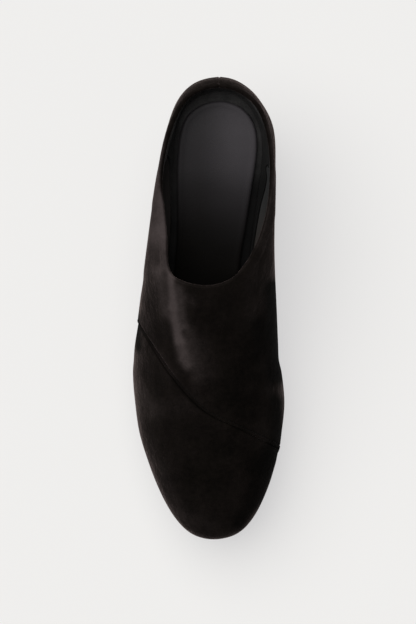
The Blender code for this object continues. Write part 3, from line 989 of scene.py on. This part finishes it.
def bedPiece(name, look, edge, finish, crown=None):
    # a pad on the footbed: a flat underside and a top that rolls down at the edge
    outline = edge(evenTurns(look["columns"]))
    outer, inner = np.array_split(outline, 2)
    share = 0.5 * (1.0 - np.cos(np.linspace(0.0, math.pi, look["across"])))
    plan = mix(outer[:, None, :], inner[::-1, None, :], share[None, :, None])
    fromEdge = pathDistance(plan, np.concatenate([outline, outline[:1]]))
    rolled = quarterRound(fromEdge, look["rounding"])
    floor = footbed(plan[..., 1]) + look["base"]
    top = floor + look["thickness"] * mix(1.0, look["edgeShare"], rolled)
    if crown is not None:
        top = top + crown(plan, fromEdge)
    thing = shell(name, laid(plan, top), laid(plan, floor), finish, ring=False, sharpAngle=60.0)[0]
    addPaintedShade(thing, look["outerPaintedShade"], look["innerPaintedShade"])
    return thing


def sockCrown(plan, fromEdge):
    crown = ridge(fromEdge, sock["rim"])
    for x, station, halfWidth, halfLength, depth in sock["dishes"]:
        away = np.hypot((plan[..., 0] - x) / halfWidth, (plan[..., 1] - station) / halfLength)
        crown = crown - depth * bump(away, 1.0)
    return crown


def makeBed():
    insole = bedPiece("insoleBoard", board, offsetLoop(feather, -board["inset"]), suede)
    finishPiece(insole, "insole")
    pad = bedPiece("sockPad", sock, sockEdge, sockLeather, sockCrown)
    finishPiece(pad, "sock_liner")


makeLining()
makeHeelGrip()
makeBed()


sole = {
    "columns": 280,
    "overhang": 3.4,
    "bulge": 0.5,
    "rounding": 1.9,
    "capInsets": (6.0, 4.0),    # rings inside the edge, on top and underneath
    "cornerRows": 7,
    "sideRows": 12,
    "outsoleColumns": 240,
    "outsoleInset": 1.0,
    "outsoleThickness": 3.0,
    "outsoleStart": 71.0,
    "treadDepth": 0.8,
    "treadBorder": 4.5,
    "heelInset": 0.8,
    "heelBreast": 70.0,
    "heelBreastBase": 68.0,
    "heelBackSlant": 8.0,
    "heelSideTaper": 3.0,
    "heelCurve": 0.8,
    "heelColumns": 120,
    "breastCorner": 2.2,        # the breast's upright corners are rounded
    "breastPull": 0.9,
    "topPiece": 6.0,
}


def featherTurn(station):
    return float(stationTurn(station, *featherEnds))


def makePlatform():
    turns = evenTurns(sole["columns"])
    radius = sole["rounding"]
    angles = np.linspace(0.0, 0.5 * math.pi, sole["cornerRows"])
    shares = np.linspace(0.0, 1.0, sole["sideRows"])[1:-1]
    corner = [(inset, 0.0) for inset in sole["capInsets"]]
    corner += [(radius * (1.0 - math.sin(a)), radius * (1.0 - math.cos(a))) for a in angles]
    # inset from the edge, share of the way up, lift
    rows = [(inset, 0.0, lift) for inset, lift in corner]
    rows += [(-sole["bulge"] * math.sin(math.pi * s), s, radius * (1.0 - 2.0 * s)) for s in shares]
    rows += [(inset, 1.0, -lift) for inset, lift in reversed(corner)]
    loops = []
    for inset, share, lift in rows:
        plan = offsetLoop(feather, sole["overhang"] - inset)(turns)
        loops.append(laid(plan, mix(underside(plan[:, 1]), footbed(plan[:, 1]), share) + lift))
    finishPiece(stack("platformCover", loops, velvet), "platform")


def makeOutsole():
    start = featherTurn(sole["outsoleStart"])
    turns = np.linspace(start, fullTurn - start, sole["outsoleColumns"])
    under, over = -last["gap"] - sole["outsoleThickness"], -last["gap"]
    border = sole["treadBorder"]
    rows = [    # inset from the edge, lift above the platform's underside
        (border + 0.4, under + sole["treadDepth"]), (border, under + 0.15), (border - 0.15, under),
        (0.9, under), (0.35, under + 0.15), (0.0, under + 0.7), (0.0, over - 1.2),
        (0.25, over - 1.0), (0.25, over - 0.8), (0.0, over - 0.6), (0.1, over),
    ]
    loops = []
    for inset, lift in rows:
        plan = offsetLoop(feather, sole["overhang"] - sole["outsoleInset"] - inset)(turns)
        plan[0, 1] = plan[-1, 1] = sole["outsoleStart"]
        loops.append(laid(plan, underside(plan[:, 1]) + lift))
    finishPiece(stack("treadSole", loops, rubber, 30.0), "outsole")


def heelPlan(down, inset=0.0):
    taper = sole["heelInset"] + sole["heelSideTaper"] * down ** sole["heelCurve"]
    edge = offsetLoop(feather, sole["overhang"] - taper - inset)
    end = featherTurn(sole["heelBreast"])
    even = np.linspace(0.0, 1.0, sole["heelColumns"])
    plan = edge(mix(-end, end, mix(even, 0.5 * (1.0 - np.cos(math.pi * even)), 0.5)))
    back, front = edge(np.array(0.0))[1], edge(np.array(end))[1]
    newBack = back + sole["heelBackSlant"] * down ** sole["heelCurve"]
    newFront = mix(sole["heelBreast"], sole["heelBreastBase"], down) - inset
    plan[:, 1] = mix(newBack, newFront, (plan[:, 1] - back) / (front - back))
    pull = sole["breastPull"] * quarterRound(newFront - plan[:, 1], sole["breastCorner"])
    plan[:, 0] -= np.sign(plan[:, 0] - 0.5 * (plan[0, 0] + plan[-1, 0])) * pull
    return plan


def makeHeel():
    rows = [(1.0, 1.0, 0.0), (1.0, 0.0, 0.5)]       # share of the way down, inset, lift
    rows += [(down, 0.0, 0.0) for down in [*np.linspace(0.985, 0.015, 26), 0.0]]
    loops = []
    for down, inset, lift in rows:
        plan = heelPlan(down, inset)
        high = underside(plan[:, 1]) - last["gap"]
        loops.append(laid(plan, mix(high, sole["topPiece"] + last["gap"], down) + lift))
    finishPiece(stack("heelCover", loops, velvet), "heel")

    rows = [    # inset from the edge, height above the floor
        (4.2, 0.7), (4.0, 0.0), (0.8, 0.0), (0.3, 0.12), (0.0, 0.5), (0.0, 5.4), (0.2, sole["topPiece"]),
    ]
    loops = [laid(heelPlan(1.0, inset), height) for inset, height in rows]
    finishPiece(stack("topLift", loops, rubber, 30.0), "heel_top_piece")


makePlatform()
makeOutsole()
makeHeel()


def copiesTree(name, followsPath, inputs):
    # one small block, set along a path or on every point, and turned by the point's own axes
    tree = bpy.data.node_groups.new(name, "GeometryNodeTree")
    tree.interface.new_socket("Geometry", in_out="INPUT", socket_type="NodeSocketGeometry")
    names = {}
    for label, kind in inputs:
        names[label] = tree.interface.new_socket(label, in_out="INPUT", socket_type=kind).identifier
    tree.interface.new_socket("Geometry", in_out="OUTPUT", socket_type="NodeSocketGeometry")

    def add(kind, sockets, **settings):
        return addNode(tree, kind, settings, sockets)

    given = add("NodeGroupInput", {})
    points = given["Geometry"]
    if followsPath:
        path = add("GeometryNodeMeshToCurve", {0: points})
        spaced = {"Curve": path[0], "Length": given["Pitch"]}
        points = add("GeometryNodeResampleCurve", spaced, mode="LENGTH")[0]
        block = add("GeometryNodeMeshUVSphere", {"Segments": 8, "Rings": 6, "Radius": 0.5})
    else:
        block = add("GeometryNodeMeshCube", {})
    size = add("ShaderNodeCombineXYZ", {0: given["Length"], 1: given["Width"], 2: given["Height"]})
    shape = add("GeometryNodeTransform", {"Geometry": block["Mesh"], "Scale": size[0]})
    kind = "GeometryNodeInputNamedAttribute"
    along = add(kind, {"Name": "along"}, data_type="FLOAT_VECTOR")["Attribute"]
    above = add(kind, {"Name": "above"}, data_type="FLOAT_VECTOR")["Attribute"]
    axes = {"primary_axis": "Z", "secondary_axis": "X"}
    turned = add("FunctionNodeAxesToRotation", {0: above, 1: along}, **axes)
    placed = {"Points": points, "Instance": shape[0], "Rotation": turned[0]}
    copies = add("GeometryNodeInstanceOnPoints", placed)
    solid = add("GeometryNodeRealizeInstances", {0: copies[0]})
    painted = add("GeometryNodeSetMaterial", {"Geometry": solid[0], "Material": given["Material"]})
    add("NodeGroupOutput", {0: painted[0]})
    return tree, names


sizeInputs = [("Length", "NodeSocketFloat"), ("Width", "NodeSocketFloat"), ("Height", "NodeSocketFloat")]
finishInput = [("Material", "NodeSocketMaterial")]
stitchTree = copiesTree("stitches", True, [("Pitch", "NodeSocketFloat")] + sizeInputs + finishInput)
lugTree = copiesTree("lugs", False, sizeInputs + finishInput)


def makeCopies(name, treeAndInputs, points, along, above, edges, values, node):
    tree, inputs = treeAndInputs
    mesh = bpy.data.meshes.new(name + " guide")
    mesh.from_pydata((points * mm).tolist(), edges, [])
    for label, vectors in (("along", along), ("above", above)):
        field = mesh.attributes.new(label, "FLOAT_VECTOR", "POINT")
        field.data.foreach_set("vector", np.asarray(vectors, np.float32).reshape(-1))
    guide = newObject(name + " guide", mesh)
    modifier = guide.modifiers.new("copies", "NODES")
    modifier.node_group = tree
    for label, value in values.items():
        modifier[inputs[label]] = value
    graph = bpy.context.evaluated_depsgraph_get()
    result = bpy.data.meshes.new_from_object(guide.evaluated_get(graph))
    bpy.data.objects.remove(guide, do_unlink=True)
    result.name = name
    result.shade_smooth()
    result.set_sharp_from_angle(angle=math.radians(50.0))
    finishPiece(newObject(name, result), node)


stitches = {"pitch": 2.6, "length": 1.9, "width": 0.40, "height": 0.30, "proud": 0.02, "columns": 240}


def makeStitches():
    depth, away, _ = panel["stitchGroove"]
    turns = np.linspace(seamInner - 0.004, seamOuter + 0.004, stitches["columns"])
    seam = splitLevel(turns)
    levels = bisect(                        # where the stitch line runs behind the folded edge
        lambda level: seamDistance(lastPoint(turns, level)) < away,
        seam, np.minimum(seam + 0.4, 1.99))
    above = outwards(turns, levels)
    points = lastPoint(turns, levels) + above * (last["rearWall"] + depth + stitches["proud"])
    along = unit(np.gradient(points, axis=0))
    edges = [(k, k + 1) for k in range(len(points) - 1)]
    values = {label.title(): stitches[label] * mm for label in ("pitch", "length", "width", "height")}
    values["Material"] = thread
    makeCopies("seamStitches", stitchTree, points, along, above, edges, values, "upper")


tread = {
    "pitch": 4.6,
    "row": 4.2,
    "length": 3.4,
    "width": 2.0,
    "extraHeight": 0.15,        # a block is this much taller than the tread is deep
    "centre": 2.0,
    "reach": 12,                # blocks to either side of the centre line, before the edge stops them
    "edgeGap": 1.6,
    "sideGap": 1.0,
    "lift": 0.1,                # raises its middle, so that its top is rooted in the sole
    "firstRow": 7.0,            # ahead of the outsole's rear end
    "finalStation": 252.0,
}


def makeTread():
    inset = sole["outsoleInset"] + sole["treadBorder"] + tread["edgeGap"]
    edge = offsetLoop(feather, sole["overhang"] - inset)
    first = sole["outsoleStart"] + tread["firstRow"]
    places = []
    for row in range(int((tread["finalStation"] - first) / tread["row"])):
        station = first + row * tread["row"]
        turn = featherTurn(station)
        left, right = edge(np.array(turn))[0], edge(np.array(fullTurn - turn))[0]
        for k in range(-tread["reach"], tread["reach"] + 1):
            x = tread["centre"] + tread["pitch"] * (k + 0.5 * (row % 2))
            if left + tread["sideGap"] < x < right - tread["sideGap"]:
                places.append((x, station))
    plan = np.array(places)
    depth = sole["treadDepth"]
    under = underside(plan[:, 1]) - last["gap"] - sole["outsoleThickness"]
    points = laid(plan, under + 0.5 * depth + tread["lift"])
    slope = underside(plan[:, 1] + 0.5) - underside(plan[:, 1] - 0.5)
    above = unit(np.stack([np.zeros(len(plan)), slope, np.ones(len(plan))], axis=-1))
    along = np.tile([1.0, 0.0, 0.0], (len(plan), 1))
    values = {
        "Length": tread["length"] * mm, "Width": tread["width"] * mm,
        "Height": (depth + tread["extraHeight"]) * mm, "Material": rubber,
    }
    makeCopies("treadBlocks", lugTree, points, along, above, [], values, "outsole")


makeStitches()
makeTread()
print("copies ready")


studio = {
    "floorColour": (0.31, 0.307, 0.288, 1.0),
    "floorGlow": (0.548, 0.543, 0.550, 1.0),    # a bright sweep, on which shadows stay faint
    "ambient": 0.09,
    "key": 3.35,
    "keyElevation": 62.0,
    "keyFrom": 128.0,           # compass of the light, from +X towards +Y
    "keyAngle": 72.0,
    "camera": (0.056, 0.0018, 1.65),
    "aim": (0.0, 0.0, 0.045),
    "lens": 158.0,
}


def makeStudio():
    bpy.ops.mesh.primitive_plane_add(size=8.0, location=(0.0, 0.0, -0.0002))
    floor = bpy.context.object
    floor.name = "floor"
    finish = Finish("floor")
    floor.data.materials.append(finish.coat(
        Base_Color=studio["floorColour"], Roughness=1.0, Specular_IOR_Level=0.0,
        Emission_Color=studio["floorGlow"], Emission_Strength=1.0))

    world = bpy.data.worlds.new("soft room")
    bpy.context.scene.world = world
    world.use_nodes = True
    background = world.node_tree.nodes["Background"]
    background.inputs["Color"].default_value = (1.0, 1.0, 1.0, 1.0)
    background.inputs["Strength"].default_value = studio["ambient"]

    lamp = bpy.data.lights.new("key", "SUN")
    lamp.energy = studio["key"]
    lamp.angle = math.radians(studio["keyAngle"])
    high, around = math.radians(studio["keyElevation"]), math.radians(studio["keyFrom"])
    flat = math.cos(high)
    towards = Vector((flat * math.cos(around), flat * math.sin(around), math.sin(high)))
    newObject("key", lamp).rotation_euler = towards.to_track_quat("Z", "Y").to_euler()

    view = bpy.data.cameras.new("camera")
    view.lens = studio["lens"]
    view.sensor_width = 36.0
    view.clip_end = 20.0
    camera = newObject("camera", view)
    camera.location = studio["camera"]
    back = (camera.location - Vector(studio["aim"])).normalized()       # the toe points down the view
    right = Vector((0.0, 1.0, 0.0)).cross(back).normalized()
    camera.rotation_euler = Matrix((right, back.cross(right), back)).transposed().to_euler()
    bpy.context.scene.camera = camera


makeStudio()
